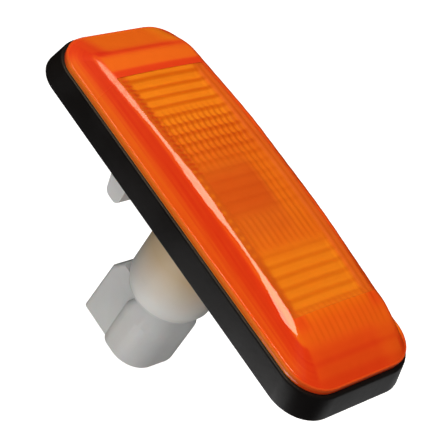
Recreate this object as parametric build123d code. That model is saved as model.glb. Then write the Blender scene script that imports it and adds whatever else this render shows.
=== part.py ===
from build123d import *
import os

os.makedirs("parts", exist_ok=True)

# Side repeater lamp for a car's wing, in millimetres.
# +X runs along the lamp, the lens faces -Y, +Y goes into the wing and +Z is up.
# The origin is the middle of the seat plane, where the gasket's back meets the body panel.

# Lens: outline, slopes and crown
lens_length = 80.0
lens_width = 28.6
lens_corner = 6.8
lip_depth = 1.2
lip_shelf = 0.35
ridge_rise = 6.3
ridge_inset = 3.0
ridge_bevel = 0.9
length_crown = 2.7
cross_crown = 0.3
plateau_length = 65.6
plateau_corner = 3.0
trim_clearance = 0.1
lens_wall = 2.2
lens_side_wall = 2.6
lens_end_wall = 5.0
mouth_corner = 4.0
inner_shoulder_setback = 3.4

# Lens: cross flutes and lengthwise ribs moulded on the inside
flute_pitch = 2.26
flute_depth = 0.3
flute_field_setback = 4.9
front_flutes = 13
rear_flutes = 4
smooth_middle = 15.6
rib_height = 0.4
rib_pitch = 1.38
end_rib_length = 6.0
middle_rib_length = 4.4
rib_margin = 0.8
wall_rib_pitch = 0.95
wall_ribs = 2

# Gasket
gasket_depth = 5.0
gasket_front_side = 0.5
gasket_front_end = 0.8
gasket_back_side = 1.05
gasket_back_end = 2.0
gasket_corner = 7.4
gasket_chamfer = 0.4
rubber_gap = 0.2

# Rear housing: flange inside the lens, tray, spigot through the panel, barrel
housing_wall = 1.5
weld_gap = 0.15
flange_depth = 1.2
tray_length = 62.0
tray_width = 19.6
tray_corner = 5.0
tray_depth = 3.2
spigot_length = 40.0
spigot_width = 17.4
spigot_corner = 3.5
spigot_reach = 2.4
barrel_diameter = 17.0
barrel_bore = 13.6
barrel_reach = 21.5
barrel_chamfer = 0.7
barrel_lead = 1.8

# Sprung arm at one end of the spigot, fixed hook at the other
arm_width = 6.0
arm_thickness = 2.6
arm_reach = 16.9
arm_tip_round = 1.5
barb_height = 2.4
barb_land = 1.2
barb_peak = 12.4
barb_tip = 1.2
hook_width = 9.0
hook_length = 3.0
hook_depth = 2.0
hook_lead = 1.0
panel_room = 2.1
hook_neck = 1.6

# Bulb holder: turns into the barrel on two lugs, with the plug socket behind
nose_gap = 0.2
lug_height = 0.6
lug_width = 4.0
lug_depth = 1.4
lug_setback = 4.2
lug_gap = 0.15
disc_diameter = 15.2
disc_depth = 0.6
grip_end = 7.4
grip_step = 2.5
grip_width = 15.0
grip_end_round = 5.6
grip_step_round = 2.5
grip_inset = 1.7
grip_lead = 4.0
connector_width = 13.2
connector_front_width = 9.8
connector_front_end = 8.2
connector_end = 9.6
connector_round = 1.0
shoulder_end = 10.0
shoulder_depth = 2.8
holder_back_depth = 13.9
socket_middle = 1.2
socket_length = 14.0
socket_width = 8.4
socket_corner = 1.5
socket_depth = 9.0

# Seal ring in the holder's nose
seal_section = 1.5
seal_setback = 1.5
seal_gap = 0.05

# Capless wedge bulb
bulb_diameter = 10.0
bulb_length = 26.8
bulb_dome = 3.2
pinch_width = 9.5
pinch_thickness = 2.1
pinch_length = 7.6
pinch_chamfer = 0.4
pinch_gap = 0.2
pinch_seat = 1.8
neck_gap = 0.3
neck_taper = 3.8
neck_root = 1.9

# Brass contacts, stamped from strip
strip_width = 3.0
strip_thickness = 0.5
strip_spread = 3.0
blade_width = 2.8
blade_pitch = 5.0
blade_reach = 7.5
joggle_length = 2.6
contact_gap = 0.08

# Levels along Y, from the front to the back
joint = -gasket_depth
foot = joint - lip_depth
crest = joint - ridge_rise - cross_crown
tray_back = joint + tray_depth
disc_back = barrel_reach + disc_depth
holder_back = disc_back + holder_back_depth
socket_floor = holder_back - socket_depth
pinch_end = barrel_reach + pinch_seat
nose_front = pinch_end - pinch_length + neck_gap
bulb_tip = pinch_end - bulb_length

# Plan sizes that several pieces share
mouth_length = lens_length - 2 * lens_end_wall
mouth_width = lens_width - 2 * lens_side_wall
ridge_half = lens_width / 2 - ridge_inset
foot_half = lens_width / 2 - lip_shelf
foot_end = lens_length / 2 - lip_shelf
plateau_half = plateau_length / 2
inner_shoulder = plateau_half - inner_shoulder_setback
bore_radius = barrel_bore / 2
nose_radius = bore_radius - nose_gap


def plate(outline, back, front):
    """Extrudes an outline drawn in X and Z from one level along Y to a level in front of it."""
    return extrude(Plane.XZ.offset(-back) * outline, amount=back - front)


def rounded_plate(length, width, corner, back, front):
    """A rounded rectangle of the lamp's plan, between two levels along Y."""
    return plate(RectangleRounded(length, width, corner), back, front)


def disc(radius, back, front):
    """A cylinder along Y on the barrel's axis."""
    return plate(Circle(radius), back, front)


def ridge_level(x):
    """Level of the lens's ridge along Y: a parabola along the lamp, furthest out at mid-length."""
    return joint - ridge_rise + length_crown * (2 * x / lens_length) ** 2


def inner_level(x):
    """Level of the lens's inner face, one wall behind the ridge."""
    return ridge_level(x) + lens_wall


def lens_section(x):
    """Cross-section of the lens above its lip: two slopes, bevelled ridges and a crowned top."""
    level = ridge_level(x)
    slopes = Polyline((level, ridge_half), (foot, foot_half), (foot, -foot_half), (level, -ridge_half))
    top = ThreePointArc((level, -ridge_half), (level - cross_crown, 0), (level, ridge_half))
    outline = make_face([slopes, top])
    ridges = outline.vertices().sort_by(Axis.X)[:2]
    return Plane.YZ.offset(x) * chamfer(ridges, ridge_bevel)


def lean(low_half, high_half, high_level):
    """How far a slope of the lens leans in for each millimetre that it rises from the lip."""
    return (low_half - high_half) / (foot - high_level)


def end_lean():
    """Lean of the end slopes, which reach the plateau's ends."""
    return lean(foot_end, plateau_half, ridge_level(plateau_half))


def side_lean():
    """Lean of the side slopes at mid-length, where the ridge is highest."""
    return lean(foot_half, ridge_half, ridge_level(0))


def end_trim():
    """Everything behind the two end slopes, which rise from the lip past the plateau's ends."""
    top = crest - trim_clearance
    reach = foot_end - end_lean() * (foot - top)
    profile = Polyline((foot_end, foot), (reach, top), (-reach, top), (-foot_end, foot), close=True)
    return extrude(make_face(profile), amount=lens_width, both=True)


def trim_outline(level):
    """Rounded outline just outside the slopes at one level, with corners that tighten upwards."""
    rise = foot - level
    foot_corner = lens_corner - lip_shelf
    corner_lean = lean(foot_corner, plateau_corner, ridge_level(plateau_half))
    length = 2 * (foot_end + trim_clearance - end_lean() * rise)
    width = 2 * (foot_half + trim_clearance - side_lean() * rise)
    corner = max(foot_corner - corner_lean * rise, trim_clearance)
    return Plane.XZ.offset(-level) * RectangleRounded(length, width, corner)


def lens_outside():
    """Crowned pillow with sloping ends and leaning round corners, on a straight lip."""
    stations = (-lens_length / 2, 0, lens_length / 2)
    pillow = loft([lens_section(x) for x in stations]) & end_trim()
    corners = loft([trim_outline(foot), trim_outline(crest - trim_clearance)], ruled=True)
    lip = rounded_plate(lens_length, lens_width, lens_corner, joint, foot)
    return lip + (pillow & corners)


def flute_starts():
    """Places along X where each cross flute begins: a long field, then a short one past the smooth middle."""
    first = plateau_half - flute_field_setback
    fore = [first - flute_pitch * k for k in range(front_flutes)]
    second = fore[-1] - flute_pitch - smooth_middle
    aft = [second - flute_pitch * k for k in range(rear_flutes)]
    return fore, aft


def inner_point(x):
    """A point of the inner face, along the lamp and along Y."""
    return (x, inner_level(x))


def inner_arc(start, end, swell):
    """Arc along the inner face between two places, standing into the lamp by the swell."""
    middle = (start + end) / 2
    return ThreePointArc(inner_point(start), (middle, inner_level(middle) + swell), inner_point(end))


def cavity():
    """The lens's hollow: a lengthwise profile with the flutes in it, cut to the side walls and the mouth."""
    fore, aft = flute_starts()
    toe = mouth_length / 2
    fore_end = fore[-1] - flute_pitch
    aft_end = aft[-1] - flute_pitch
    roof = [inner_arc(inner_shoulder, fore[0], 0)]
    roof += [inner_arc(x, x - flute_pitch, flute_depth) for x in fore]
    roof += [inner_arc(fore_end, aft[0], 0)]
    roof += [inner_arc(x, x - flute_pitch, flute_depth) for x in aft]
    roof += [inner_arc(aft_end, -inner_shoulder, 0)]
    rest = Polyline(
        inner_point(-inner_shoulder),
        (-toe, foot),
        (-toe, joint),
        (toe, joint),
        (toe, foot),
        inner_point(inner_shoulder),
    )
    lengthwise = extrude(make_face(roof + [rest]), amount=lens_width, both=True)
    crosswise = extrude(Plane.YZ * side_walls(), amount=lens_length, both=True)
    mouth = rounded_plate(mouth_length, mouth_width, mouth_corner, joint, crest)
    return lengthwise & crosswise & mouth


def side_walls():
    """Section of the hollow between its side walls: upright at the mouth, then leaning in."""
    half = mouth_width / 2
    inset = (foot - crest) * side_lean()
    return make_face(
        Polyline(
            (joint, half),
            (foot, half),
            (crest, half - inset),
            (crest, inset - half),
            (foot, -half),
            (joint, -half),
            close=True,
        )
    )


def rib_bar(length):
    """A square bar along X that stands on its edge, so that half of it rises out of a wall as a rib."""
    section = Rot(0, 0, 45) * Rectangle(rib_height * 2**0.5, rib_height * 2**0.5)
    return extrude(Plane.YZ * section, amount=length / 2, both=True)


def rib(start, end, across):
    """A rib along the inner face, between two places along X."""
    spine = Line(inner_point(start), inner_point(end))
    tilt = spine.tangent_angle_at(0)
    middle = spine @ 0.5
    return Pos(middle.X, middle.Y, across) * Rot(0, 0, tilt) * rib_bar(spine.length)


def lengthwise_ribs():
    """Fine ribs: a group behind the smooth middle, a group towards the tail, and some on each side wall."""
    fore, aft = flute_starts()
    tail = aft[-1] - flute_pitch
    half = mouth_width / 2 - (foot - inner_level(0)) * side_lean() - rib_margin
    count = int(half / rib_pitch)
    rows = [rib_pitch * k for k in range(-count, count + 1)]
    group = [rib(aft[0] + middle_rib_length, aft[0], z) for z in rows]
    group += [rib(tail, max(tail - end_rib_length, -inner_shoulder), z) for z in rows]
    for step in range(1, wall_ribs + 1):
        level = foot - wall_rib_pitch * step
        side = mouth_width / 2 - (foot - level) * side_lean()
        group += [Pos(0, level, z) * rib_bar(2 * inner_shoulder) for z in (-side, side)]
    return group


def make_lens():
    """Amber cover: outside, less the hollow, with the lengthwise ribs moulded on."""
    outside = lens_outside()
    ribs = Part() + lengthwise_ribs()
    return outside - cavity() + (ribs & outside)


def gasket_outline(level, side, end):
    """Rounded outline of the gasket at one level, wider than the lens by a margin at its sides and ends."""
    outline = RectangleRounded(lens_length + 2 * end, lens_width + 2 * side, gasket_corner)
    return Plane.XZ.offset(-level) * outline


def make_gasket():
    """Rubber frame that flares towards the panel, with the tray's pocket and the spigot's opening."""
    back = gasket_outline(0, gasket_back_side, gasket_back_end)
    side_rim = gasket_front_side - gasket_chamfer
    end_rim = gasket_front_end - gasket_chamfer
    front = gasket_outline(joint + gasket_chamfer, gasket_front_side, gasket_front_end)
    rim = gasket_outline(joint, side_rim, end_rim)
    body = loft([back, front, rim], ruled=True)
    room = 2 * rubber_gap
    pocket_corner = tray_corner + rubber_gap
    opening_corner = spigot_corner + rubber_gap
    body -= rounded_plate(tray_length + room, tray_width + room, pocket_corner, tray_back, joint)
    body -= rounded_plate(spigot_length + room, spigot_width + room, opening_corner, 0, joint)
    return body


def sprung_arm():
    """Arm behind the spigot's +X end, with a barb that ramps out from the panel and back in to the tip."""
    outer = spigot_length / 2
    inner = outer - arm_thickness
    root = spigot_reach - housing_wall
    profile = Polyline(
        (inner, root),
        (outer, root),
        (outer, spigot_reach),
        (outer + barb_height, barb_peak - barb_land),
        (outer + barb_height, barb_peak),
        (outer + barb_tip, arm_reach),
        (inner, arm_reach),
        close=True,
    )
    arm = extrude(make_face(profile), amount=arm_width / 2, both=True)
    tip = arm.faces().sort_by(Axis.Y)[-1].edges().filter_by(Axis.Z)
    return fillet(tip, arm_tip_round)


def fixed_hook():
    """Rigid tongue at the spigot's -X end, which goes behind the panel first."""
    end = -spigot_length / 2
    tip = end - hook_length
    back = panel_room + hook_depth
    profile = Polyline(
        (end + hook_neck, spigot_reach - housing_wall),
        (end + hook_neck, back),
        (tip + hook_lead, back),
        (tip, back - hook_lead),
        (tip, panel_room),
        (end, panel_room),
        (end, spigot_reach - housing_wall),
        close=True,
    )
    return extrude(make_face(profile), amount=hook_width / 2, both=True)


def housing_hollow():
    """The housing's inside: one wall in from the tray and the spigot, and the barrel's bore."""
    walls = 2 * housing_wall
    tray_floor = tray_back - housing_wall
    spigot_floor = spigot_reach - housing_wall
    hollow_corner = spigot_corner - housing_wall
    tray = rounded_plate(
        tray_length - walls,
        tray_width - walls,
        tray_corner - housing_wall,
        tray_floor,
        joint - flange_depth,
    )
    spigot = rounded_plate(spigot_length - walls, spigot_width - walls, hollow_corner, spigot_floor, joint)
    return tray + spigot + disc(bore_radius, barrel_reach, joint)


def make_rear_housing():
    """White moulding: flange in the lens's mouth, tray, spigot, barrel, sprung arm and hook in one piece."""
    gaps = 2 * weld_gap
    flange_corner = mouth_corner - weld_gap
    body = rounded_plate(mouth_length - gaps, mouth_width - gaps, flange_corner, joint, joint - flange_depth)
    body += rounded_plate(tray_length, tray_width, tray_corner, tray_back, joint)
    body += rounded_plate(spigot_length, spigot_width, spigot_corner, spigot_reach, joint)
    barrel = disc(barrel_diameter / 2, barrel_reach, tray_back)
    rim = barrel.faces().sort_by(Axis.Y)[-1]
    body += chamfer(rim.edges(), barrel_chamfer, barrel_lead, reference=rim)
    body += sprung_arm()
    body += fixed_hook()
    return body - housing_hollow() - lug_track()


def lug_track():
    """Room for the holder's lugs: a turning groove in the bore, and two ways in from the barrel's end."""
    middle = barrel_reach - lug_setback
    half = lug_depth / 2 + lug_gap
    radius = nose_radius + lug_height + nose_gap
    track = disc(radius, middle + half, middle - half)
    way = Rectangle(2 * radius, lug_width + 2 * lug_gap)
    return track + (plate(way, barrel_reach, middle) & disc(radius, barrel_reach, middle))


def lug_pair():
    """Two lugs on the nose, a quarter turn on from the ways in."""
    middle = barrel_reach - lug_setback
    back = middle + lug_depth / 2
    front = middle - lug_depth / 2
    tip_radius = nose_radius + lug_height
    return plate(Rectangle(lug_width, 2 * tip_radius), back, front) & disc(tip_radius, back, front)


def contact_outline(side, gap):
    """Outline of one contact, grown by a gap: a strip beside the bulb, a joggle and a blade in the socket."""
    strip = side * strip_spread
    blade = socket_middle + side * blade_pitch / 2
    strip_half = strip_width / 2 + gap
    blade_half = blade_width / 2 + gap
    bend = pinch_end + pinch_gap
    return make_face(
        Polyline(
            (strip - strip_half, nose_front - gap),
            (strip + strip_half, nose_front - gap),
            (strip + strip_half, bend),
            (blade + blade_half, bend + joggle_length),
            (blade + blade_half, socket_floor + blade_reach + gap),
            (blade - blade_half, socket_floor + blade_reach + gap),
            (blade - blade_half, bend + joggle_length),
            (strip - strip_half, bend),
            close=True,
        )
    )


def contact(side, gap=0.0):
    """One contact: it lies against the bulb's pinch on its own side of it."""
    level = side * (pinch_thickness / 2 + pinch_gap + strip_thickness / 2)
    blank = extrude(contact_outline(side, gap), amount=strip_thickness / 2 + gap, both=True)
    return Pos(0, 0, level) * blank


def seal_groove():
    """Ring cut round the nose for the seal, with a little room on every side of it."""
    middle = barrel_reach - seal_setback
    back = middle + seal_section / 2 + seal_gap
    front = middle - seal_section / 2 - seal_gap
    floor_radius = bore_radius - seal_section - 2 * seal_gap
    return disc(bore_radius, back, front) - disc(floor_radius, back, front)


def plug_socket():
    """Hollow that takes the plug, in the back of the grip and the connector."""
    outline = Pos(socket_middle, 0) * RectangleRounded(socket_length, socket_width, socket_corner)
    return plate(outline, holder_back, socket_floor)


def holder_grip():
    """Block for the fingers: a well-rounded end, and a front that draws in towards the barrel."""
    outline = Rectangle(grip_end + grip_step, grip_width)
    corners = outline.vertices().sort_by(Axis.X)
    outline = fillet(corners[:2], grip_end_round)
    corners = outline.vertices().sort_by(Axis.X)
    outline = fillet(corners[-2:], grip_step_round)
    grip = plate(Pos((grip_step - grip_end) / 2, 0) * outline, holder_back, disc_back)
    front = grip.faces().sort_by(Axis.Y)[0]
    return chamfer(front.edges(), grip_inset, grip_lead, reference=front)


def holder_connector():
    """Block beside the grip that narrows forwards, with a sloping shoulder and rounded edges at its end."""
    profile = Polyline(
        (0, disc_back),
        (connector_front_end, disc_back),
        (shoulder_end, disc_back + shoulder_depth),
        (connector_end, holder_back),
        (0, holder_back),
        close=True,
    )
    half_back = connector_width / 2
    half_front = connector_front_width / 2
    plan = Polyline(
        (disc_back, half_front),
        (holder_back, half_back),
        (holder_back, -half_back),
        (disc_back, -half_front),
        close=True,
    )
    block = extrude(make_face(profile), amount=half_back, both=True)
    block &= extrude(Plane.YZ * make_face(plan), amount=shoulder_end, both=True)
    shoulder, end = block.faces().sort_by(Axis.X)[-2:]
    edges = shoulder.edges() + end.edges()
    return fillet(edges.filter_by(Axis.Z, reverse=True), connector_round)


def make_bulb_holder():
    """White twist-in holder: nose with lugs and seal groove, disc, grip, connector and plug socket."""
    nose = disc(nose_radius, barrel_reach, nose_front) + lug_pair() - seal_groove()
    flange = disc(disc_diameter / 2, disc_back, barrel_reach)
    seat = Rectangle(pinch_width + 2 * pinch_gap, pinch_thickness + 2 * pinch_gap)
    body = nose + flange + holder_grip() + holder_connector() - plug_socket()
    body -= plate(seat, pinch_end + pinch_gap, nose_front)
    for side in (-1, 1):
        body -= contact(side, contact_gap)
    return body


def make_holder_seal():
    """Rubber ring of square section, which fills the nose's groove and closes the bore."""
    section = Rectangle(seal_section, seal_section)
    middle = Pos(bore_radius - seal_gap - seal_section / 2, barrel_reach - seal_setback)
    return revolve(middle * section, Axis.Y)


def make_bulb():
    """Sealed capless bulb: a round envelope with a domed tip, drawn in to a flat glass pinch."""
    radius = bulb_diameter / 2
    neck = pinch_end - pinch_length
    shoulder = neck - neck_taper
    dome_radius = (radius**2 + bulb_dome**2) / (2 * bulb_dome)
    profile = make_face(
        [
            Line((0, bulb_tip), (0, neck)),
            Line((0, neck), (pinch_width / 2, neck)),
            Line((pinch_width / 2, neck), (radius, shoulder)),
            Line((radius, shoulder), (radius, bulb_tip + bulb_dome)),
            RadiusArc((radius, bulb_tip + bulb_dome), (0, bulb_tip), dome_radius),
        ]
    )
    envelope = revolve(profile, Axis.Y)
    pinch = plate(Rectangle(pinch_width, pinch_thickness), pinch_end, neck - neck_root)
    pinch = chamfer(pinch.faces().sort_by(Axis.Y)[-1].edges(), pinch_chamfer)
    return envelope + pinch


def main():
    pieces = {
        "lens": make_lens(),
        "rear_housing": make_rear_housing(),
        "gasket": make_gasket(),
        "bulb_holder": make_bulb_holder(),
        "holder_seal": make_holder_seal(),
        "bulb": make_bulb(),
        "contact_fore": contact(1),
        "contact_aft": contact(-1),
    }
    for name, solid in pieces.items():
        solid.label = name
        export_step(solid, f"parts/{name}.step")
        print(name, len(solid.solids()), round(solid.volume, 1), solid.bounding_box())


main()
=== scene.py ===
"""Looks of the side repeater lamp: amber lens, rubber gasket and the white mouldings behind them."""

import math

import bmesh
import bpy
import numpy as np
from mathutils import Matrix, Quaternion, Vector


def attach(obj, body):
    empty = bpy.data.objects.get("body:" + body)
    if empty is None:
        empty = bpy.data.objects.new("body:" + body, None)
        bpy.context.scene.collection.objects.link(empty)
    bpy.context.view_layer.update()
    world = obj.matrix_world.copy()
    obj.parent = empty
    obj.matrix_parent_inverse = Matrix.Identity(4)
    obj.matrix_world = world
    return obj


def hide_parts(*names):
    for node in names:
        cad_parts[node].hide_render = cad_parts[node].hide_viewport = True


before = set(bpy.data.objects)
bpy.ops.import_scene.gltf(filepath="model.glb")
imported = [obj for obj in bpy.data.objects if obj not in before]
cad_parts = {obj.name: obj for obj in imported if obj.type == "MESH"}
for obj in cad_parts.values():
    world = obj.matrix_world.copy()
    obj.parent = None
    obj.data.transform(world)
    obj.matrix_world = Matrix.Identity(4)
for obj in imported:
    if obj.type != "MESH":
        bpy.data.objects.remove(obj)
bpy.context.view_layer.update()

# Sizes in millimetres, the same as the solids'. +X runs along the lamp, the lens faces -Y and +Z is up
MM = 0.001
JOINT = -5.0
LENS_LENGTH = 80.0
LENS_WIDTH = 28.6
LENS_CORNER = 6.8
LIP_DEPTH = 1.2
LIP_SHELF = 0.35
RIDGE_RISE = 6.3
RIDGE_INSET = 3.0
LENGTH_CROWN = 2.7
CROSS_CROWN = 0.3
PLATEAU_LENGTH = 65.6
PLATEAU_CORNER = 3.0
TRIM_CLEARANCE = 0.1
FLUTE_START = 27.9
FLUTE_PITCH = 2.26
FLUTE_DEPTH = 0.3
RIB_PITCH = 1.38
RIB_HEIGHT = 0.25

# Many values below vary along the lens or across it. A step is an amount and the places where it starts and
# is complete. A patch is an amount, its two limits and the softness of its edges. A bell is an amount, a
# middle and a width

# Bevel on the ridges: its width, its least width, and what the wave, the ripple and the wide stretches add
RIDGE_BEVEL = 0.62
LEAST_BEVEL = 0.15
BEVEL_WAVE = 0.13
BEVEL_WAVE_REACH = 4.05
BEVEL_RIPPLE = 0.04
BEVEL_RIPPLE_RATE = 1.9
WIDE_BEVEL = 0.26
WIDE_STRETCHES = ((0.7, 12.0, 2.0), (1.0, -8.0, -24.0))
BEVEL_NEAR_END = (1.0, -31.5, -26.5)
BEVEL_FAR_END = (1.0, 33.5, 29.0)

# Rounding between the top, the bevel and the slopes, and between the sides and the ends
RIDGE_ROUND = 0.16
END_ROUND = 0.4
NEAR_ROUND = (1.4, 0.0, -20.0)
LOWER_ROUND = (0.8, -4.0, -10.0)
LOWER_ROUND_ENDS = (1.0, 22.0, 30.0)

# The window that the fluted face is seen through: its ends along the lens, its edges across it, and how far
# its skin may lie below the crowned top
WINDOW_ALONG = (-27.5, 26.7)
WINDOW_ACROSS = (-10.0, 10.4)
WINDOW_DROP = 0.08

# The fluted face inside the lens: its inset from the foot, and its depth below the outside by the distance
# in from the edge of the window
OPTICS_INSET = 0.6
EDGE_DISTANCES = (-1.6, -0.3, 2.5)
EDGE_DEPTHS = (1.6, 0.03, 0.8)

# How far the pattern of flutes and ribs leans towards the far lower corner, for each millimetre of depth
LEAN_ALONG = 0.54
LEAN_ACROSS = -1.04

# Fields of cross flutes and of lengthwise ribs
FORE_FLUTES = (1.0, -8.0, 25.8, 0.8)
FORE_FADE = (-0.75, 13.0, 0.0)
TAIL_FLUTES = (0.6, -26.8, -15.6, 1.6)
FLUTES_ACROSS = (1.0, -7.8, 9.0, 1.6)
GRID_RIBS = (0.85, 2.0, 9.0)
GRID_RIBS_END = (1.0, 19.0, 14.0)
SHORT_RIBS = (0.4, -14.0, -7.5, 2.0)
END_RIBS = (0.3, -32.5, -26.5, 2.5)
SIDE_RIBS = (0.5, -14.0, 16.0, 4.0)
SIDE_RIBS_ACROSS = (1.0, -1.5, -4.0)
EDGE_RIBS = (0.55, -29.0, 26.0, 3.0)
EDGE_RIBS_ACROSS = (1.0, -6.8, -8.0)
RIBS_ACROSS = (1.0, -9.6, 8.9, 0.9)

# Brightness of the fluted face, from 0 for the red of thick places to 1 for the yellow of the flutes
FACE_GLOW = 0.33
FACE_STEPS = (
    (0.15, 0.0, 5.0),
    (0.15, 5.0, 11.0),
    (0.20, 11.0, 16.0),
    (0.14, -5.0, -9.0),
    (0.10, -10.0, -13.0),
    (0.25, -13.0, -18.0),
    (-0.18, -25.5, -27.5),
)
GRID_GLOW = (0.06, 4.0, 15.0, 3.0)
LOWER_GLOW = 0.62
LOWER_ALONG = (1.0, -14.0, 8.0, 6.0)
LOWER_ACROSS = (1.0, -1.5, -4.0)
LOWER_EDGE_GLOW = 0.46
LOWER_EDGE = (1.0, -6.8, -8.4)
UPPER_EDGE_GLOW = 0.40
UPPER_EDGE = (1.0, 8.2, 9.8)
LOWER_RIM = (-0.1, -8.8, -9.6)
# Painted glints: a row of bright dots beside the upper ridge, at the ends of the flutes
PAINTED_GLINT_PITCH = 1.85
PAINTED_GLINTS_ALONG = (0.3, -15.0, 5.0, 3.0)
PAINTED_GLINTS_ACROSS = (1.0, 9.5, 10.3, 0.5)
NOTCH_PITCH = FLUTE_PITCH / 2
NOTCHES_ALONG = (-0.4, 3.0, 26.0, 3.0)
NOTCHES_ACROSS = (1.0, 8.6, 10.2, 0.6)

# Brightness of the side slopes, by the place along and across the lens and by the share of their height
SIDE_GLOW = 0.34
# Painted light and shade along the foot: lighter towards the far end, darker towards the near end, where the
# lights fall stronger
SIDE_PAINTED_SHADING_ALONG = (0.16, -20.0, 25.0)
RED_GLOW = 0.06
RED_HEIGHTS = (1.0, 0.15, 0.6)
STREAK_HEIGHTS = (0.06, 0.1, 0.7, 0.2)
BROAD_STREAKS = 40.0
FINE_STREAKS = 67.0
FINE_STREAK_SHARE = 0.7
FINE_STREAK_SLANT = 0.3
# Painted highlight on the bevel, lighter towards the near end
PAINTED_BEVEL_HIGHLIGHT = 0.25
PAINTED_BEVEL_HIGHLIGHT_NEAR = (0.2, -12.0, -22.0)
PAINTED_HIGHLIGHT_HEIGHTS = (1.0, 0.82, 0.9)
PAINTED_HIGHLIGHT_ACROSS = (1.0, 10.0, 10.5)
LOWER_SIDE = (0.3, -9.0, -10.5)
CORNER_SHADE = (-0.75, 33.5, 37.5)

# Brightness of the far end, of the near end, and where the ends take over from the sides
FAR_GLOW = 0.58
FAR_BAND = (-0.46, 26.0, 28.3, 0.9)
FAR_CREASE = (-0.42, 32.9, 0.9)
FAR_LOWER = (0.15, 31.0, 34.0)
FAR_LOWER_ACROSS = (1.0, -5.0, -10.0)
FAR_UPPER = (-0.4, 32.0, 34.0)
FAR_UPPER_ACROSS = (1.0, 6.0, 9.5)
NEAR_GLOW = 0.25
NEAR_STEPS = ((0.21, -34.5, -31.5), (0.12, -30.0, -27.5), (-0.12, -37.4, -38.8))
NEAR_CREASE = (-0.1, -35.6, 0.5)
NEAR_CORNERS = (-0.28, -31.0, -28.0)
NEAR_CORNERS_ACROSS = (1.0, 7.0, 9.0)
NEAR_LOWER = (0.12, -31.0, -34.0)
NEAR_LOWER_ACROSS = (1.0, -4.0, -8.0)
ENDS_ALONG = (1.0, 25.8, 26.7)
ENDS_ACROSS = (1.0, 10.9, 10.1)

# The lens's materials by their place in its list, and its lip, ring by ring from the foot of the slope round
# to the mouth: inset, height, brightness and material. The two brightest rings, at the lip's edge, are a
# painted highlight line. Both ends of the lip are redder
SKIN_SLOT = 0
RIM_SLOT = 1
OPTICS_SLOT = 2
LIP_RINGS = (
    (0.25, LIP_DEPTH, 0.3, OPTICS_SLOT),
    (0.06, LIP_DEPTH, 0.36, OPTICS_SLOT),
    (0.0, 1.14, 0.42, OPTICS_SLOT),
    (0.0, 0.6, 0.42, OPTICS_SLOT),
    (0.0, 0.34, 0.45, RIM_SLOT),
    # Painted highlight: a bright line along the lip's edge
    (0.0, 0.22, 0.85, RIM_SLOT),
    (0.0, 0.1, 0.9, RIM_SLOT),
    (0.06, 0.0, 0.6, RIM_SLOT),
    (LIP_SHELF + OPTICS_INSET, 0.0, 0.2, RIM_SLOT),
)
LIP_END_GLOW = 0.05
LIP_ENDS = (0.8, 33.0, 38.0)

# Grid of the lens's two skins, and how much closer together its columns and rows are towards the edges
LENS_COLUMNS = 321
LENS_ROWS = 121
COLUMN_BUNCHING = 0.35
ROW_BUNCHING = 0.55

# Gasket: what it adds to the lens's half length and half width, its corners, opening, pocket and soft edges
GASKET_FRONT = (0.8, 0.5)
GASKET_BACK = (2.0, 1.05)
GASKET_CORNER = 7.4
GASKET_OPENING = (20.2, 8.9, 3.7)
GASKET_POCKET = (31.2, 10.0, 5.2)
POCKET_FLOOR = -1.8
GASKET_SOFTNESS = 0.45

# White mouldings: colours, broken edges, the angles of sharp and of flat edges, and the merging in metres
# The housing's white is the same nylon as the holder's, painted lighter as light on its shaded arm
HOUSING_WHITE_PAINTED_LIGHTER = (0.91, 0.90, 0.87)
HOLDER_WHITE = (0.70, 0.695, 0.675)
EDGE_BREAK = 0.25
SHARP_ANGLE = math.radians(30)
FLAT_ANGLE = math.radians(1)
MERGE_DISTANCE = 2e-6

# Amber light on the barrel, in metres: its colour, the barrel's edge by its distance from the axis, and the
# light's two places along Y with its share at each
WARM_TINT = (0.60, 0.35, 0.08)
BARREL_EDGE = (0.0086, 0.0092)
WARM_ALONG = (0.010, 0.019)
WARM_SHARES = (0.7, 0.1)

# Where most of a noise's values lie
NOISE_RANGE = (0.3, 0.7)

# The floor, in metres: its height, its radius, the bend at its edge, its sides and the steps of each curve
FLOOR_LEVEL = -0.22
FLOOR_RADIUS = 4.0
FLOOR_BEND = 1.0
FLOOR_SIDES = 96
FLOOR_STEPS = 24


def smooth_min(first, second, reach):
    """The lower of two surfaces, blended over a band of heights that the reach gives."""
    share = np.clip(0.5 + 0.5 * (second - first) / reach, 0, 1)
    return second + (first - second) * share - reach * share * (1 - share)


def step(value, shape):
    """A smooth step from nought at its start to its amount where it is complete."""
    amount, start, end = shape
    share = np.clip((value - start) / (end - start), 0, 1)
    return amount * share * share * (3 - 2 * share)


def patch(value, shape):
    """An amount between two limits and nought outside them, with soft edges."""
    amount, low, high, soft = shape
    half = soft / 2
    return step(value, (amount, low - half, low + half)) * step(value, (1.0, high + half, high - half))


def bell(value, shape):
    """A bell-shaped bump of an amount about a middle."""
    amount, middle, width = shape
    return amount * np.exp(-(((value - middle) / width) ** 2))


def dots(value, pitch):
    """A row of soft dots, one at nought and one at each pitch from there."""
    return (0.5 + 0.5 * np.cos(2 * math.pi * value / pitch)) ** 2


def towards(value, goal, share):
    """A value carried a share of the way to a goal."""
    return value + (goal - value) * share


def bunched(count, share):
    """Values from -1 to 1, closer together towards both ends by the share of a sine that they follow."""
    even = np.linspace(-1, 1, count)
    return (1 - share) * even + share * np.sin(even * math.pi / 2)


def lens_plan(inset):
    """Plan of the lens on a grid: X by columns along it, Z as a share of the rounded outline's half width."""
    half_length = LENS_LENGTH / 2 - inset
    half_width = LENS_WIDTH / 2 - inset
    corner = LENS_CORNER - inset
    along = half_length * bunched(LENS_COLUMNS, COLUMN_BUNCHING)
    into_corner = np.clip(np.abs(along) - (half_length - corner), 0, corner)
    reach = half_width - corner + np.sqrt(corner**2 - into_corner**2)
    across = reach[:, None] * bunched(LENS_ROWS, ROW_BUNCHING)[None, :]
    return np.broadcast_to(along[:, None], across.shape), across


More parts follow.
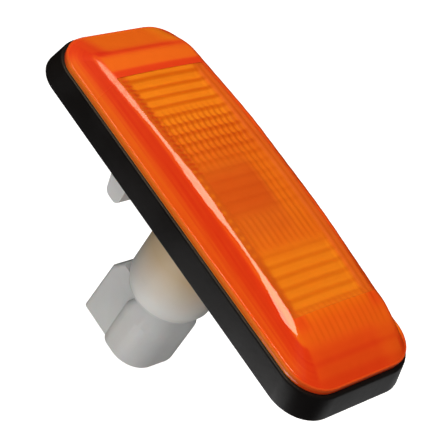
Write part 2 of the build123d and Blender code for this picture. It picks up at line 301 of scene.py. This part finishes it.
def outline_rise(x, z, foot, brow, height):
    """Height of a rounded block whose outline shrinks evenly from its foot to its brow.

    It is found by halving a range of heights. An outline is its half length, half width and corner.
    """
    halvings = 32
    tallest = 3 * height
    sharpest = 0.05
    low = np.zeros_like(z)
    high = np.full_like(z, tallest)
    for _ in range(halvings):
        rise = (low + high) / 2
        share = rise / height
        half_length, half_width, corner = (towards(a, b, share) for a, b in zip(foot, brow))
        corner = np.maximum(corner, sharpest)
        past_x = np.abs(x) - half_length + corner
        past_z = np.abs(z) - half_width + corner
        gap = np.hypot(np.maximum(past_x, 0), np.maximum(past_z, 0))
        gap += np.minimum(np.maximum(past_x, past_z), 0)
        low = np.where(gap < corner, rise, low)
        high = np.where(gap < corner, high, rise)
    return low


def bevel_width(x):
    """Width of the bevel along a ridge: wide stretches, a wave and a ripple, and the least at both ends."""
    width = RIDGE_BEVEL + WIDE_BEVEL * sum(step(x, stretch) for stretch in WIDE_STRETCHES)
    width += BEVEL_WAVE * np.cos(x / BEVEL_WAVE_REACH) + BEVEL_RIPPLE * np.sin(BEVEL_RIPPLE_RATE * x)
    return towards(LEAST_BEVEL, width, step(x, BEVEL_NEAR_END) * step(x, BEVEL_FAR_END))


def lens_rise(x, z):
    """Height of the lens above its joint, and of its crowned top.

    The top, the bevels, the sloping sides and the block with sloping ends each give a height. The lowest of
    them holds, blended where two meet, and none goes below the lip.
    """
    foot_half = LENS_WIDTH / 2 - LIP_SHELF
    foot_end = LENS_LENGTH / 2 - LIP_SHELF
    ridge_half = LENS_WIDTH / 2 - RIDGE_INSET
    plateau_half = PLATEAU_LENGTH / 2
    ridge = RIDGE_RISE - LENGTH_CROWN * (2 * x / LENS_LENGTH) ** 2
    ridge_at_end = RIDGE_RISE - LENGTH_CROWN * (2 * plateau_half / LENS_LENGTH) ** 2
    top = ridge + CROSS_CROWN * (1 - (z / ridge_half) ** 2)
    lean = (ridge - LIP_DEPTH) / (foot_half - ridge_half)
    side = LIP_DEPTH + lean * (foot_half - np.abs(z))
    bevel = ridge - np.tan(np.arctan(lean) / 2) * (np.abs(z) - ridge_half + bevel_width(x))
    end_top = ridge_at_end - LIP_DEPTH
    side_top = foot_half - end_top * (foot_half - ridge_half) / (RIDGE_RISE - LIP_DEPTH)
    foot = (foot_end, foot_half + TRIM_CLEARANCE, LENS_CORNER - LIP_SHELF)
    brow = (plateau_half, side_top + TRIM_CLEARANCE, PLATEAU_CORNER)
    block = LIP_DEPTH + outline_rise(x, z, foot, brow, end_top)
    sides = smooth_min(smooth_min(top, bevel, RIDGE_ROUND), side, RIDGE_ROUND)
    blend = END_ROUND + step(x, NEAR_ROUND) + step(z, LOWER_ROUND) * step(np.abs(x), LOWER_ROUND_ENDS)
    return np.maximum(smooth_min(sides, block, blend), LIP_DEPTH), top


def optic_depth(x, z):
    """Depth of the fluted face below the outside: least by the window's edge, so that no step shows there."""
    low, high = WINDOW_ACROSS
    near, far = WINDOW_ALONG
    inward = np.minimum.reduce([z - low, high - z, x - near, far - x])
    return np.interp(inward, EDGE_DISTANCES, EDGE_DEPTHS)


def flute_phase(x):
    """Place within a cross flute, from 0 at one groove to 1 at the next."""
    return np.mod((FLUTE_START - x) / FLUTE_PITCH, 1.0)


def rib_phase(z):
    """Place within a lengthwise rib, from 0 at one groove to 1 at the next."""
    return np.mod(z / RIB_PITCH + 0.5, 1.0)


def optic_fields(x, z):
    """Shares of the cross flutes and of the lengthwise ribs at each point of the fluted face."""
    fore = patch(x, FORE_FLUTES) * (1 + step(x, FORE_FADE))
    flutes = np.maximum(fore, patch(x, TAIL_FLUTES)) * patch(z, FLUTES_ACROSS)
    grid = step(x, GRID_RIBS) * step(x, GRID_RIBS_END)
    side = patch(x, SIDE_RIBS) * step(z, SIDE_RIBS_ACROSS)
    edge = patch(x, EDGE_RIBS) * step(z, EDGE_RIBS_ACROSS)
    ribs = np.maximum.reduce([grid, patch(x, SHORT_RIBS), patch(x, END_RIBS), side, edge])
    return flutes, ribs * patch(z, RIBS_ACROSS)


def lens_inside(x, z):
    """Height of the fluted face: the outside's form with round flutes across it and fine ribs along it."""
    flutes, ribs = optic_fields(x, z)
    flute = np.sin(math.pi * flute_phase(x))
    rib = np.sin(math.pi * rib_phase(z)) ** 2
    relief = FLUTE_DEPTH * flutes * flute + RIB_HEIGHT * ribs * rib
    return lens_rise(x, z)[0] - optic_depth(x, z) - relief


def optic_glow(x, z):
    """Brightness of the fluted face: steps along it, plainer edges, and painted glints as bright dots beside
    its upper ridge.
    """
    glow = FACE_GLOW + sum(step(x, shape) for shape in FACE_STEPS) + patch(x, GRID_GLOW)
    glow = towards(glow, LOWER_GLOW, step(z, LOWER_ACROSS) * patch(x, LOWER_ALONG))
    glow = towards(glow, LOWER_EDGE_GLOW, step(z, LOWER_EDGE))
    glow = towards(glow, UPPER_EDGE_GLOW, step(z, UPPER_EDGE))
    glow += step(z, LOWER_RIM)
    # Painted glints: bright dots beside the upper ridge
    glow += dots(x, PAINTED_GLINT_PITCH) * patch(z, PAINTED_GLINTS_ACROSS) * patch(x, PAINTED_GLINTS_ALONG)
    glow += dots(FLUTE_START - x, NOTCH_PITCH) * patch(z, NOTCHES_ACROSS) * patch(x, NOTCHES_ALONG)
    return np.clip(glow, 0, 1)


def side_glow(x, z, height):
    """Brightness of a side slope: orange at its foot, red and streaked higher up, with a painted highlight on
    the bevel.
    """
    streaks = np.sin(BROAD_STREAKS * height)
    streaks += FINE_STREAK_SHARE * np.sin(FINE_STREAKS * height + FINE_STREAK_SLANT * x)
    # Painted light and shade: the foot is lighter towards the far end and darker towards the near end
    glow = towards(SIDE_GLOW + step(x, SIDE_PAINTED_SHADING_ALONG), RED_GLOW, step(height, RED_HEIGHTS))
    glow += streaks * patch(height, STREAK_HEIGHTS)
    # Painted highlight: the bevel is lighter where the light is reflected, more so towards the near end
    glow += (PAINTED_BEVEL_HIGHLIGHT + step(x, PAINTED_BEVEL_HIGHLIGHT_NEAR)) * step(height, PAINTED_HIGHLIGHT_HEIGHTS) * step(z, PAINTED_HIGHLIGHT_ACROSS)
    glow += step(z, LOWER_SIDE)
    return glow * (1 + step(np.abs(x), CORNER_SHADE))


def far_glow(x, z):
    """Brightness of the far end: a red band beside the flutes, and a red crease at the brow of the slope."""
    glow = FAR_GLOW + patch(x, FAR_BAND) + bell(x, FAR_CREASE)
    glow += step(x, FAR_LOWER) * step(z, FAR_LOWER_ACROSS)
    return glow + step(x, FAR_UPPER) * step(z, FAR_UPPER_ACROSS)


def near_glow(x, z):
    """Brightness of the near end: redder towards its foot and its corners, with a crease on the slope."""
    glow = NEAR_GLOW + sum(step(x, shape) for shape in NEAR_STEPS) + bell(x, NEAR_CREASE)
    glow += step(x, NEAR_CORNERS) * step(np.abs(z), NEAR_CORNERS_ACROSS)
    return glow + step(x, NEAR_LOWER) * step(z, NEAR_LOWER_ACROSS)


def slope_glow(x, z, rise, top):
    """Brightness of the lens's slopes: the sides', and between the corners the two ends'."""
    height = np.clip((rise - LIP_DEPTH) / (top - LIP_DEPTH), 0, 1)
    ends = np.where(x > 0, far_glow(x, z), near_glow(x, z))
    share = step(np.abs(x), ENDS_ALONG) * step(np.abs(z), ENDS_ACROSS)
    return np.clip(towards(side_glow(x, z, height), ends, share), 0, 1)


def grid_border(columns, rows):
    """Indices round the edge of a grid, in one turn."""
    index = np.arange(columns * rows).reshape(columns, rows)
    return np.concatenate([index[:-1, 0], index[-1, :-1], index[:0:-1, -1], index[0, :0:-1]])


def grid_quads(columns, rows):
    """Four corners of each cell of a grid, in the same turn as its edge."""
    index = np.arange(columns * rows).reshape(columns, rows)
    corners = (index[:-1, :-1], index[1:, :-1], index[1:, 1:], index[:-1, 1:])
    return np.stack([c.ravel() for c in corners], axis=1)


def ring_quads(first, second):
    """Cells between two rings of the same number of points."""
    return np.stack([first, np.roll(first, -1), np.roll(second, -1), second], axis=1)


def mesh_piece(name, points, quads, slots, finishes):
    """A mesh in the shared frame from points in millimetres and cells, with a material for each cell."""
    mesh = bpy.data.meshes.new(name)
    mesh.from_pydata((points * MM).tolist(), [], quads.tolist())
    for finish in finishes:
        mesh.materials.append(finish)
    mesh.polygons.foreach_set("material_index", np.asarray(slots, np.int32))
    mesh.polygons.foreach_set("use_smooth", np.ones(len(quads), bool))
    mesh.update()
    piece = bpy.data.objects.new(name, mesh)
    bpy.context.scene.collection.objects.link(piece)
    return piece


def mark_points(piece, name, values):
    """Keeps one number for each point of a piece, for its material to read."""
    layer = piece.data.attributes.new(name, "FLOAT", "POINT")
    layer.data.foreach_set("value", np.asarray(values, np.float32))


def lens_points(x, z, rise):
    """Points of a lens grid as rows of X, Y and Z."""
    return np.stack([x, JOINT - rise, z], axis=-1).reshape(-1, 3)


def make_lens(skin, rim, optics):
    """The lens: outer pillow, lip and the fluted face inside, joined round the mouth into a closed shell."""
    x, z = lens_plan(LIP_SHELF)
    rise, top = lens_rise(x, z)
    outer = lens_points(x, z, rise)
    x_in, z_in = lens_plan(LIP_SHELF + OPTICS_INSET)
    inner = lens_points(x_in, z_in, lens_inside(x_in, z_in))
    depth = optic_depth(x_in, z_in)
    laid_x = x_in - LEAN_ALONG * depth
    laid_z = z_in - LEAN_ACROSS * depth
    parts = [outer, inner]
    glow = [slope_glow(x, z, rise, top).ravel(), optic_glow(laid_x, laid_z).ravel()]
    fields = [optic_fields(x, z), optic_fields(laid_x, laid_z)]
    # Outside the window the skin is the solid amber of the slopes
    near, far = WINDOW_ALONG
    covered = np.maximum.reduce([top - rise - WINDOW_DROP, x - far, near - x, WINDOW_ACROSS[0] - z])
    skin_quads = grid_quads(LENS_COLUMNS, LENS_ROWS)
    sloping = covered.ravel()[skin_quads].mean(axis=1) > 0
    quads = [skin_quads, skin_quads[:, ::-1] + len(outer)]
    slots = [np.where(sloping, RIM_SLOT, SKIN_SLOT), np.full(len(skin_quads), OPTICS_SLOT)]
    border = grid_border(LENS_COLUMNS, LENS_ROWS)
    last = border
    start = 2 * len(outer)
    for inset, height, light, slot in LIP_RINGS:
        x_lip, z_lip = lens_plan(inset)
        parts.append(lens_points(x_lip, z_lip, np.full(z_lip.shape, height))[border])
        glow.append(towards(light, LIP_END_GLOW, step(np.abs(x_lip.ravel()[border]), LIP_ENDS)))
        ring = start + np.arange(len(border))
        quads.append(ring_quads(ring, last))
        slots.append(np.full(len(border), slot))
        last = ring
        start += len(border)
    quads.append(ring_quads(border + len(outer), last))
    slots.append(np.full(len(border), OPTICS_SLOT))
    points, quads, slots = (np.concatenate(pieces) for pieces in (parts, quads, slots))
    lens = mesh_piece("lens_shell", points, quads, slots, [skin, rim, optics])
    mark_points(lens, "glow", np.concatenate(glow))
    plain_lip = np.zeros(len(LIP_RINGS) * len(border))
    for name, outside, inside in zip(("flutes", "ribs"), *fields):
        mark_points(lens, name, np.concatenate([outside.ravel(), inside.ravel(), plain_lip]))
    return lens


def rounded_ring(station, count=48):
    """Points round a rounded rectangle at one level: half length, half width, corner and level along Y."""
    half_length, half_width, corner, level = station
    turn = np.linspace(0, math.pi / 2, count)
    arcs = [turn + quarter * math.pi / 2 for quarter in range(4)]
    signs = ((1, 1), (-1, 1), (-1, -1), (1, -1))
    x = [s[0] * (half_length - corner) + corner * np.cos(a) for a, s in zip(arcs, signs)]
    z = [s[1] * (half_width - corner) + corner * np.sin(a) for a, s in zip(arcs, signs)]
    x = np.concatenate(x)
    return np.stack([x, np.full(x.shape, level), np.concatenate(z)], axis=1)


def softened(stations, reach, steps=4):
    """A closed round of stations, each corner replaced by a curve that leaves and joins at the reach."""
    most = 0.45
    stations = np.asarray(stations, float)
    ahead = np.roll(stations, -1, axis=0) - stations
    behind = np.roll(stations, 1, axis=0) - stations
    trim_ahead = np.minimum(reach / np.linalg.norm(ahead, axis=1), most)
    trim_behind = np.minimum(reach / np.linalg.norm(behind, axis=1), most)
    start = stations + behind * trim_behind[:, None]
    end = stations + ahead * trim_ahead[:, None]
    t = np.linspace(0, 1, steps)[None, :, None]
    curve = (1 - t) ** 2 * start[:, None] + 2 * t * (1 - t) * stations[:, None] + t**2 * end[:, None]
    return curve.reshape(-1, stations.shape[1])


def gasket_outline(margin, level):
    """A station of the gasket's outside: the lens's half length and half width and a margin, at a level."""
    return (LENS_LENGTH / 2 + margin[0], LENS_WIDTH / 2 + margin[1], GASKET_CORNER, level)


def make_gasket(rubber):
    """The gasket: a softened section, wider at the back than the front, carried round a rounded outline."""
    section = (
        gasket_outline(GASKET_FRONT, JOINT),
        gasket_outline(GASKET_BACK, 0.0),
        (*GASKET_OPENING, 0.0),
        (*GASKET_OPENING, POCKET_FLOOR),
        (*GASKET_POCKET, POCKET_FLOOR),
        (*GASKET_POCKET, JOINT),
    )
    rings = [rounded_ring(station) for station in softened(section, GASKET_SOFTNESS)]
    size = len(rings[0])
    starts = [np.arange(size) + size * k for k in range(len(rings))]
    quads = [ring_quads(first, second) for first, second in zip(starts, starts[1:] + starts[:1])]
    quads = np.concatenate(quads)
    return mesh_piece("gasket_frame", np.concatenate(rings), quads, np.zeros(len(quads)), [rubber])


def smooth_copy(node, name, finish):
    """A merged copy of a solid, smooth over its curves, with its sharp edges broken by a small bevel."""
    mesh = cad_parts[node].data.copy()
    mesh.name = name
    work = bmesh.new()
    work.from_mesh(mesh)
    bmesh.ops.remove_doubles(work, verts=work.verts, dist=MERGE_DISTANCE)
    bmesh.ops.dissolve_limit(work, angle_limit=FLAT_ANGLE, verts=work.verts, edges=work.edges)
    work.to_mesh(mesh)
    work.free()
    mesh.materials.clear()
    mesh.materials.append(finish)
    mesh.polygons.foreach_set("use_smooth", np.ones(len(mesh.polygons), bool))
    mesh.set_sharp_from_angle(angle=SHARP_ANGLE)
    piece = bpy.data.objects.new(name, mesh)
    bpy.context.scene.collection.objects.link(piece)
    bevel = piece.modifiers.new("broken_edges", "BEVEL")
    bevel.width = EDGE_BREAK * MM
    bevel.segments = 2
    bevel.limit_method = "ANGLE"
    bevel.angle_limit = SHARP_ANGLE
    bevel.harden_normals = True
    return piece


class Finish:
    """A node material: a principled shader and short ways to add what feeds it."""

    def __init__(self, name, **settings):
        self.made = bpy.data.materials.new(name)
        self.made.use_nodes = True
        self.tree = self.made.node_tree
        self.shader = self.tree.nodes["Principled BSDF"]
        for socket, value in settings.items():
            self.shader.inputs[socket.replace("_", " ")].default_value = value

    def node(self, kind, **values):
        """Adds a node, with its plain settings or input values by name."""
        node = self.tree.nodes.new(kind)
        for name, value in values.items():
            if hasattr(node, name):
                setattr(node, name, value)
            else:
                node.inputs[name].default_value = value
        return node

    def link(self, source, target):
        """Joins an output socket to an input socket."""
        self.tree.links.new(source, target)

    def place(self):
        """Object coordinates, which are the lamp's own frame in metres."""
        return self.node("ShaderNodeTexCoord").outputs["Object"]

    def along(self, axis):
        """Place along one axis of the lamp, in metres."""
        split = self.node("ShaderNodeSeparateXYZ")
        self.link(self.place(), split.inputs["Vector"])
        return split.outputs[axis]

    def from_axis(self):
        """Distance from the barrel's axis, in metres."""
        flat = self.node("ShaderNodeVectorMath", operation="MULTIPLY")
        flat.inputs[1].default_value = (1, 0, 1)
        self.link(self.place(), flat.inputs[0])
        length = self.node("ShaderNodeVectorMath", operation="LENGTH")
        self.link(flat.outputs["Vector"], length.inputs[0])
        return length.outputs["Value"]

    def noise(self, scale, detail=3.0, roughness=0.5):
        """Noise through the body of the material, by its scale per metre."""
        noise = self.node("ShaderNodeTexNoise", Scale=scale, Detail=detail, Roughness=roughness)
        self.link(self.place(), noise.inputs["Vector"])
        return noise.outputs["Fac"]

    def kept(self, name):
        """A number that was kept at each point of the mesh."""
        return self.node("ShaderNodeAttribute", attribute_name=name).outputs["Fac"]

    def wave(self, axis, pitch, start):
        """A wave along one axis, nought at its start and at each pitch from there, in millimetres."""
        radians_per_unit = 20
        scale = 2 * math.pi / (radians_per_unit * pitch * MM)
        wave = self.node("ShaderNodeTexWave", bands_direction=axis, Scale=scale)
        wave.inputs["Phase Offset"].default_value = -2 * math.pi * start / pitch
        self.link(self.place(), wave.inputs["Vector"])
        return wave.outputs["Fac"]

    def product(self, first, second):
        """Two values multiplied."""
        node = self.node("ShaderNodeMath", operation="MULTIPLY")
        self.link(first, node.inputs[0])
        self.link(second, node.inputs[1])
        return node.outputs["Value"]

    def ramp(self, source, *stops):
        """Colours along a value: each stop is a place and a colour."""
        ramp = self.node("ShaderNodeValToRGB")
        elements = ramp.color_ramp.elements
        while len(elements) < len(stops):
            elements.new(0.5)
        for element, (position, colour) in zip(elements, stops):
            element.position = position
            element.color = (*colour, 1)
        self.link(source, ramp.inputs["Fac"])
        return ramp.outputs["Color"]

    def cloud(self, source, dark, light):
        """Two colours by a noise, spread over the middle of its range."""
        return self.ramp(source, *zip(NOISE_RANGE, (dark, light)))

    def levels(self, source, low, high, start, end):
        """Carries a value from one range to another."""
        node = self.node("ShaderNodeMapRange")
        for name, value in (("From Min", low), ("From Max", high), ("To Min", start), ("To Max", end)):
            node.inputs[name].default_value = value
        self.link(source, node.inputs["Value"])
        return node.outputs["Result"]

    def spread(self, source, start, end):
        """Carries the middle of a noise's range to another range."""
        return self.levels(source, *NOISE_RANGE, start, end)

    def blend(self, share, first, second, how="MIX"):
        """Mixes two colours by a share."""
        node = self.node("ShaderNodeMix", data_type="RGBA", blend_type=how)
        self.link(share, node.inputs["Factor"])
        colours = [s for s in node.inputs if s.type == "RGBA"]
        for source, socket in zip((first, second), colours):
            if isinstance(source, tuple):
                socket.default_value = (*source, 1)
            else:
                self.link(source, socket)
        return [s for s in node.outputs if s.type == "RGBA"][0]

    def bump(self, height, strength, distance):
        """Fine relief from a height, in metres."""
        bump = self.node("ShaderNodeBump", Strength=strength, Distance=distance)
        self.link(height, bump.inputs["Height"])
        self.link(bump.outputs["Normal"], self.shader.inputs["Normal"])

    def colour(self, source):
        """Gives the shader its colour."""
        self.link(source, self.shader.inputs["Base Color"])

    def roughness(self, source):
        """Gives the shader its roughness."""
        self.link(source, self.shader.inputs["Roughness"])


def amber_skin():
    """Glossy see-through outside of the lens."""
    finish = Finish("amber_skin", Alpha=0.2, IOR=1.7)
    shade = finish.noise(140, 2.0)
    finish.colour(finish.ramp(shade, (0.35, (0.78, 0.095, 0.006)), (0.65, (0.86, 0.14, 0.01))))
    finish.roughness(finish.spread(finish.noise(300), 0.03, 0.08))
    return finish.made


def amber(name, gloss, stops):
    """Amber from red in thick places to yellow on the flutes, with darker lines between flutes and ribs."""
    finish = Finish(name, Specular_IOR_Level=gloss)
    colour = finish.ramp(finish.kept("glow"), *stops)
    groove = (0.78, 0.52, 0.2)
    groove_end = 0.6
    most_grain = 0.12
    lines = (("flutes", "X", FLUTE_PITCH, FLUTE_START), ("ribs", "Z", RIB_PITCH, RIB_PITCH / 2))
    for field, axis, pitch, start in lines:
        line = finish.levels(finish.wave(axis, pitch, start), 0.0, groove_end, 1.0, 0.0)
        colour = finish.blend(finish.product(line, finish.kept(field)), colour, groove, "MULTIPLY")
    grain = finish.spread(finish.noise(420, 2.0), most_grain, 0.0)
    finish.colour(finish.blend(grain, colour, groove, "MULTIPLY"))
    return finish


def amber_rim():
    """Glossy slopes and lip of the lens, a little duller towards the far end."""
    stops = (
        (0.0, (0.72, 0.036, 0.007)),
        (0.2, (0.77, 0.062, 0.008)),
        (0.4, (0.82, 0.105, 0.009)),
        (0.6, (0.83, 0.150, 0.007)),
        (0.8, (0.86, 0.240, 0.009)),
        (1.0, (1.0, 0.50, 0.16)),
    )
    dulling = (-0.005, 0.03)
    finish = amber("amber_rim", 0.5, stops)
    finish.roughness(finish.levels(finish.along("X"), *dulling, 0.08, 0.3))
    return finish.made


def amber_optics():
    """Dull fluted face inside the lens."""
    stops = (
        (0.0, (0.68, 0.050, 0.006)),
        (0.3, (0.64, 0.100, 0.008)),
        (0.45, (0.70, 0.155, 0.010)),
        (0.6, (0.79, 0.195, 0.008)),
        (0.85, (0.88, 0.310, 0.010)),
        (1.0, (1.0, 0.50, 0.16)),
    )
    finish = amber("amber_optics", 0.1, stops)
    finish.roughness(finish.spread(finish.noise(500), 0.42, 0.58))
    return finish.made


def black_rubber():
    """Satin moulded rubber."""
    finish = Finish("black_rubber", Specular_IOR_Level=0.3)
    grain = finish.noise(900, 4.0, 0.6)
    cloud = finish.noise(90)
    finish.colour(finish.cloud(cloud, (0.006, 0.005, 0.005), (0.010, 0.009, 0.009)))
    finish.roughness(finish.spread(cloud, 0.34, 0.48))
    finish.bump(grain, 0.25, 0.00012)
    return finish.made


def white_nylon(name, light, warm):
    """Natural nylon, slightly cloudy. A warm one has amber light from the lens on its barrel."""
    finish = Finish(
        name,
        Subsurface_Weight=0.12,
        Subsurface_Scale=0.002,
        Roughness=0.42,
        Specular_IOR_Level=0.3,
    )
    darker = 0.92
    dark = tuple(darker * part for part in light)
    base = finish.cloud(finish.noise(150, 4.0), dark, light)
    if warm:
        near = finish.levels(finish.along("Y"), *WARM_ALONG, *WARM_SHARES)
        barrel = finish.levels(finish.from_axis(), *BARREL_EDGE, 1.0, 0.0)
        base = finish.blend(finish.product(near, barrel), base, WARM_TINT)
    finish.colour(base)
    finish.bump(finish.noise(700), 0.15, 0.0001)
    return finish.made


def bulb_glass():
    """Clear glass of the bulb, with a faint amber coat."""
    finish = Finish("bulb_glass", Roughness=0.06)
    finish.colour(finish.cloud(finish.noise(200), (0.75, 0.62, 0.42), (0.85, 0.74, 0.55)))
    return finish.made


def contact_brass():
    """Stamped brass, dulled by handling."""
    finish = Finish("contact_brass", Metallic=1.0)
    cloud = finish.noise(600, 4.0)
    finish.colour(finish.cloud(cloud, (0.72, 0.50, 0.20), (0.86, 0.66, 0.32)))
    finish.roughness(finish.spread(cloud, 0.25, 0.42))
    return finish.made


def pale_floor():
    """Plain pale floor, lit a little from itself so that it stays white."""
    finish = Finish("pale_floor", Roughness=0.9, Emission_Strength=0.75)
    finish.colour(finish.cloud(finish.noise(3, 1.0), (0.9, 0.9, 0.9), (0.93, 0.93, 0.93)))
    finish.shader.inputs["Emission Color"].default_value = (1, 1, 1, 1)
    return finish.made


def dress_solids(glass, brass, rubber):
    """Gives the small inner solids their materials."""
    for node, finish in (
        ("bulb", glass),
        ("contact_fore", brass),
        ("contact_aft", brass),
        ("holder_seal", rubber),
    ):
        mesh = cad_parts[node].data
        mesh.materials.clear()
        mesh.materials.append(finish)


def add_piece(piece, node):
    """A new piece that rides on the lamp and stands for a solid."""
    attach(piece, "root")
    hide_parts(node)


def add_floor(finish):
    """A wide round floor well below the lamp, whose edge curves up and closes overhead as a dome."""
    turn = np.linspace(0, math.pi / 2, FLOOR_STEPS)
    arch = turn[1:-1]
    flat = FLOOR_RADIUS - FLOOR_BEND
    edge = FLOOR_LEVEL + FLOOR_BEND
    radii = np.concatenate([flat + FLOOR_BEND * np.sin(turn), FLOOR_RADIUS * np.cos(arch)])
    levels = np.concatenate([edge - FLOOR_BEND * np.cos(turn), edge + FLOOR_RADIUS * np.sin(arch)])
    around = np.linspace(0, 2 * math.pi, FLOOR_SIDES, endpoint=False)
    x = radii[:, None] * np.cos(around)
    y = radii[:, None] * np.sin(around)
    points = np.stack([x, y, np.broadcast_to(levels[:, None], x.shape)], axis=-1).reshape(-1, 3)
    rings = np.arange(len(points)).reshape(x.shape)
    walls = np.concatenate([ring_quads(second, first) for first, second in zip(rings, rings[1:])])
    mesh = bpy.data.meshes.new("floor")
    mesh.from_pydata(points.tolist(), [], [rings[0].tolist(), rings[-1, ::-1].tolist()] + walls.tolist())
    mesh.polygons.foreach_set("use_smooth", np.ones(len(mesh.polygons), bool))
    mesh.materials.append(finish)
    floor = bpy.data.objects.new("floor", mesh)
    bpy.context.scene.collection.objects.link(floor)
    floor.visible_glossy = False
    floor.visible_diffuse = False
    floor.visible_shadow = False


def add_light(name, place, size, power, lit=True, mirrored=True, colour=(1, 1, 1)):
    """A soft rectangular light that faces the lamp, seen in its matt shading, in its gloss or in both."""
    data = bpy.data.lights.new(name, "AREA")
    data.shape = "RECTANGLE"
    data.size, data.size_y = size
    data.energy = power
    data.color = colour
    lamp = bpy.data.objects.new(name, data)
    lamp.location = place
    lamp.rotation_euler = Vector(place).to_track_quat("Z", "Y").to_euler()
    lamp.visible_camera = False
    lamp.visible_diffuse = lit
    lamp.visible_glossy = mirrored
    bpy.context.scene.collection.objects.link(lamp)


def add_world(strength):
    """Even pale surroundings, which light the lamp but leave no gloss on it."""
    world = bpy.data.worlds.new("studio")
    world.use_nodes = True
    background = world.node_tree.nodes["Background"]
    background.inputs["Color"].default_value = (1, 1, 1, 1)
    background.inputs["Strength"].default_value = strength
    bpy.context.scene.world = world
    world.cycles_visibility.glossy = False


def add_camera():
    """The photograph's view: a turn from the lamp's frame to the camera's and the lamp's place before it."""
    turn_vector = Vector((0.940074, -2.226204, -0.670201))
    place = Vector((-0.955, -1.123, 287.628)) * MM
    focal_pixels = 1618.66
    image_pixels = 448
    sensor = 36.0
    turn = Quaternion(turn_vector.normalized(), turn_vector.length).to_matrix()
    data = bpy.data.cameras.new("camera")
    data.sensor_width = sensor
    data.lens = focal_pixels * sensor / image_pixels
    data.clip_start = 0.01
    camera = bpy.data.objects.new("camera", data)
    axes = turn.transposed() @ Matrix.Diagonal((1, -1, -1))
    camera.matrix_world = Matrix.Translation(-(turn.transposed() @ place)) @ axes.to_4x4()
    bpy.context.scene.collection.objects.link(camera)
    bpy.context.scene.camera = camera


rubber = black_rubber()
add_piece(make_lens(amber_skin(), amber_rim(), amber_optics()), "lens")
add_piece(make_gasket(rubber), "gasket")
# The housing's nylon carries painted light: a lighter white for its shaded arm and amber light on its barrel
housing_nylon_painted_light = white_nylon("white_housing", HOUSING_WHITE_PAINTED_LIGHTER, True)
add_piece(smooth_copy("rear_housing", "housing_moulding", housing_nylon_painted_light), "rear_housing")
holder_nylon = white_nylon("white_holder", HOLDER_WHITE, False)
add_piece(smooth_copy("bulb_holder", "holder_moulding", holder_nylon), "bulb_holder")
dress_solids(bulb_glass(), contact_brass(), rubber)

# Lights and camera, in metres and watts
add_floor(pale_floor())
add_world(0.2)
add_light("front_softbox", (0.216, -0.552, 0.096), (0.44, 0.20), 2.9, colour=(1.0, 0.82, 0.60))
add_light("back_card", (-0.104, 0.430, 0.541), (0.5, 0.3), 1.2)
add_light("overhead", (-0.304, -0.507, 0.541), (0.5, 0.5), 2.4, mirrored=False)
add_light("near_card", (-0.157, 0.129, -0.195), (0.24, 0.24), 0.09, lit=False)
add_light("side_card", (-0.012, 0.065, 0.110), (0.05, 0.05), 0.012, lit=False)
add_light("rear_card", (0.0, 0.700, 0.150), (0.5, 0.3), 0.9, lit=False)
add_camera()
bpy.context.scene.view_settings.view_transform = "Standard"
